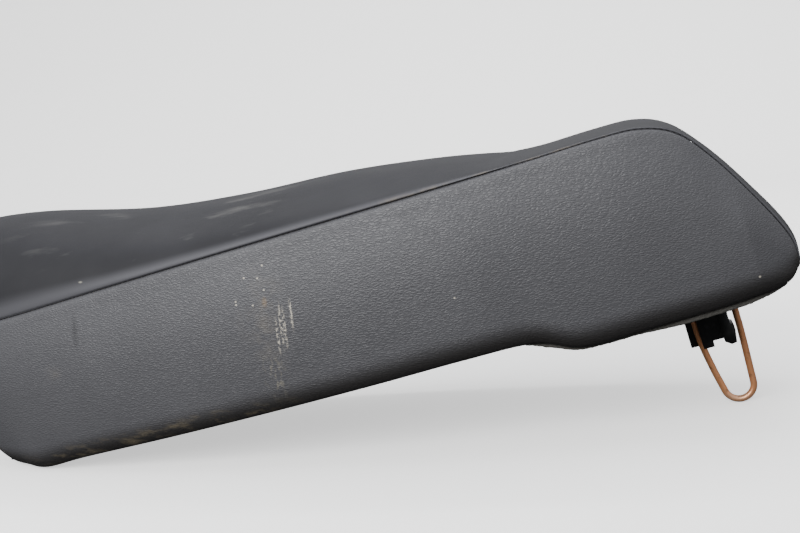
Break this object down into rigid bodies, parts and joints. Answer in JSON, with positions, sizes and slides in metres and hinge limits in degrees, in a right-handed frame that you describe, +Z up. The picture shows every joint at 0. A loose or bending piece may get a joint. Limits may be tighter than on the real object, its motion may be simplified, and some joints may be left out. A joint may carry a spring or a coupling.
{
  "type": "motorcycle seat",
  "caption": "Long two-person scooter seat with smooth top, grained side panels, front hinge and a wire striker with guide block at the rear.",
  "frame": {"origin": "middle of the flat underside of the hinge's frame leaf, level with the surface that the seat stands on", "axes": "+X towards the rear of the vehicle, +Y towards its right-hand side, +Z up with the seat closed"},
  "size_m": [0.8162, 0.2754, 0.2566],
  "materials": {
    "smooth_vinyl": "smooth satin upholstery vinyl, charcoal",
    "grained_vinyl": "embossed leather-grain upholstery vinyl, satin",
    "pan": "moulded black polypropylene, finely textured",
    "foam": "moulded polyurethane seat foam",
    "guide": "moulded black nylon, satin",
    "striker_wire": "drawn steel wire, copper-toned passivated plating",
    "hinge": "pressed steel, black electro-coat",
    "fastener": "zinc-plated steel",
    "staple": "galvanised wire",
    "bumper": "moulded black rubber",
    "seal": "cellular rubber strip, rough"
  },
  "bodies": {
    "frame_bracket": {"hinge_frame_leaf": "hinge", "hinge_pin": "fastener", "hinge_clip": "fastener", "hinge_spacer": "guide"},
    "seat": {"base_pan": "pan", "foam_cushion": "foam", "cover_top": "smooth_vinyl", "cover_left": "grained_vinyl", "cover_right": "grained_vinyl", "striker_loop": "striker_wire", "striker_plate": "fastener", "striker_nut_front": "fastener", "striker_nut_rear": "fastener", "guide_block": "guide", "guide_screw_left": "fastener", "guide_screw_right": "fastener", "hinge_seat_leaf": "hinge", "hinge_bolt_1": "fastener", "hinge_bolt_2": "fastener", "hinge_nut_1": "fastener", "hinge_nut_2": "fastener", "edge_seal_left": "seal", "edge_seal_right": "seal", "bumper_front_left": "bumper", "bumper_front_right": "bumper", "bumper_middle_left": "bumper", "bumper_middle_right": "bumper", "bumper_rear_left": "bumper", "bumper_rear_right": "bumper", "staple_left_1": "staple", "staple_left_2": "staple", "staple_left_3": "staple", "staple_left_4": "staple", "staple_left_5": "staple", "staple_left_6": "staple", "staple_left_7": "staple", "staple_left_8": "staple", "staple_right_1": "staple", "staple_right_2": "staple", "staple_right_3": "staple", "staple_right_4": "staple", "staple_right_5": "staple", "staple_right_6": "staple", "staple_right_7": "staple", "staple_right_8": "staple"}
  },
  "joints": [
    {"name": "seat_hinge", "type": "hinge", "parent": "frame_bracket", "child": "seat", "pos_m": [-0.03, 0, 0.0315], "axis": [0, -1, 0], "range_deg": [0, 75]}
  ]
}
